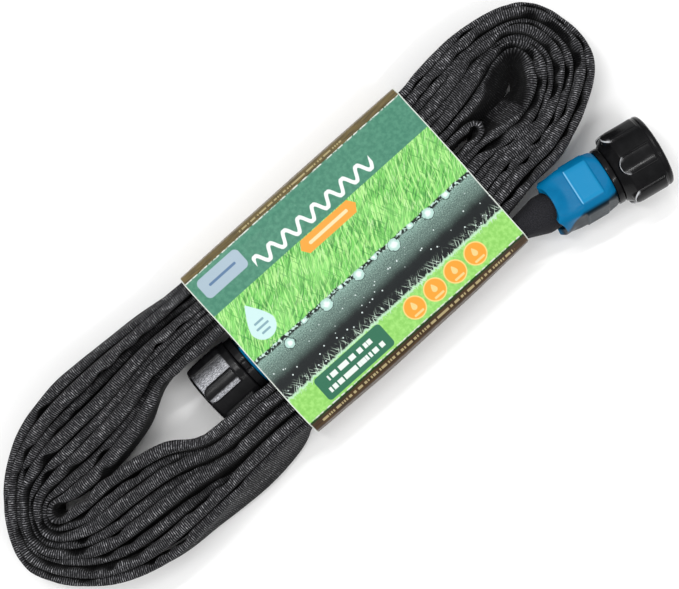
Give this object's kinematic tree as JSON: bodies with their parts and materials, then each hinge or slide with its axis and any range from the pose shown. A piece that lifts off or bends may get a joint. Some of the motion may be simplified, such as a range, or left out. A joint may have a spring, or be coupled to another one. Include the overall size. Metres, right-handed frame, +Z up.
{
  "type": "soaker hose",
  "caption": "Flat woven soaker hose wound on edge into a long hank inside a card sleeve, with a swivel inlet coupling, a screwed end cap and blue clamp nuts.",
  "frame": {"origin": "centre of the card sleeve's underside, which the packed hose lies on", "axes": "+X along the hank towards the swivel coupling's end, +Z up out of the printed face, +Y across the hank away from the coupling"},
  "size_m": [0.3352, 0.1147, 0.0355],
  "materials": {
    "woven_jacket": "matt woven polyester, fine ribs across the hose",
    "printed_card": "printed card with a satin varnish and white cut edges",
    "liner_rubber": "dull rubber",
    "gripper_nylon": "natural nylon",
    "blue_plastic": "satin moulded plastic",
    "black_plastic": "glossy moulded plastic",
    "washer_rubber": "smooth black rubber"
  },
  "bodies": {
    "hose": {"hose_hank": "woven_jacket", "hose_inlet_end": "woven_jacket", "hose_outlet_end": "woven_jacket", "card_sleeve": "printed_card", "inlet_liner": "liner_rubber", "inlet_gripper": "gripper_nylon", "inlet_clamp_nut": "blue_plastic", "inlet_body": "black_plastic", "outlet_liner": "liner_rubber", "outlet_gripper": "gripper_nylon", "outlet_clamp_nut": "blue_plastic", "outlet_body": "black_plastic"},
    "coupling": {"swivel_coupling": "black_plastic", "inlet_washer": "washer_rubber", "flow_disc": "gripper_nylon"},
    "cap_seal": {"cap_washer": "washer_rubber"},
    "cap": {"end_cap": "black_plastic"}
  },
  "joints": [
    {"name": "coupling_spin", "type": "hinge", "parent": "hose", "child": "coupling", "pos_m": [0.11135, -0.0478, 0.0179], "axis": [0.981, -0.1942, 0], "continuous": true},
    {"name": "cap_travel", "type": "slide", "parent": "hose", "child": "cap_seal", "axis": [-1, 0, 0], "range_m": [0, 0.00883]},
    {"name": "cap_turn", "type": "hinge", "parent": "cap_seal", "child": "cap", "pos_m": [-0.078, -0.00275, 0.0163], "axis": [-1, 0, 0], "range_deg": [0, 1440]}
  ],
  "couplings": [
    {"joint": "cap_turn", "follows": "cap_travel", "rad_per_m": 2844.4}
  ]
}
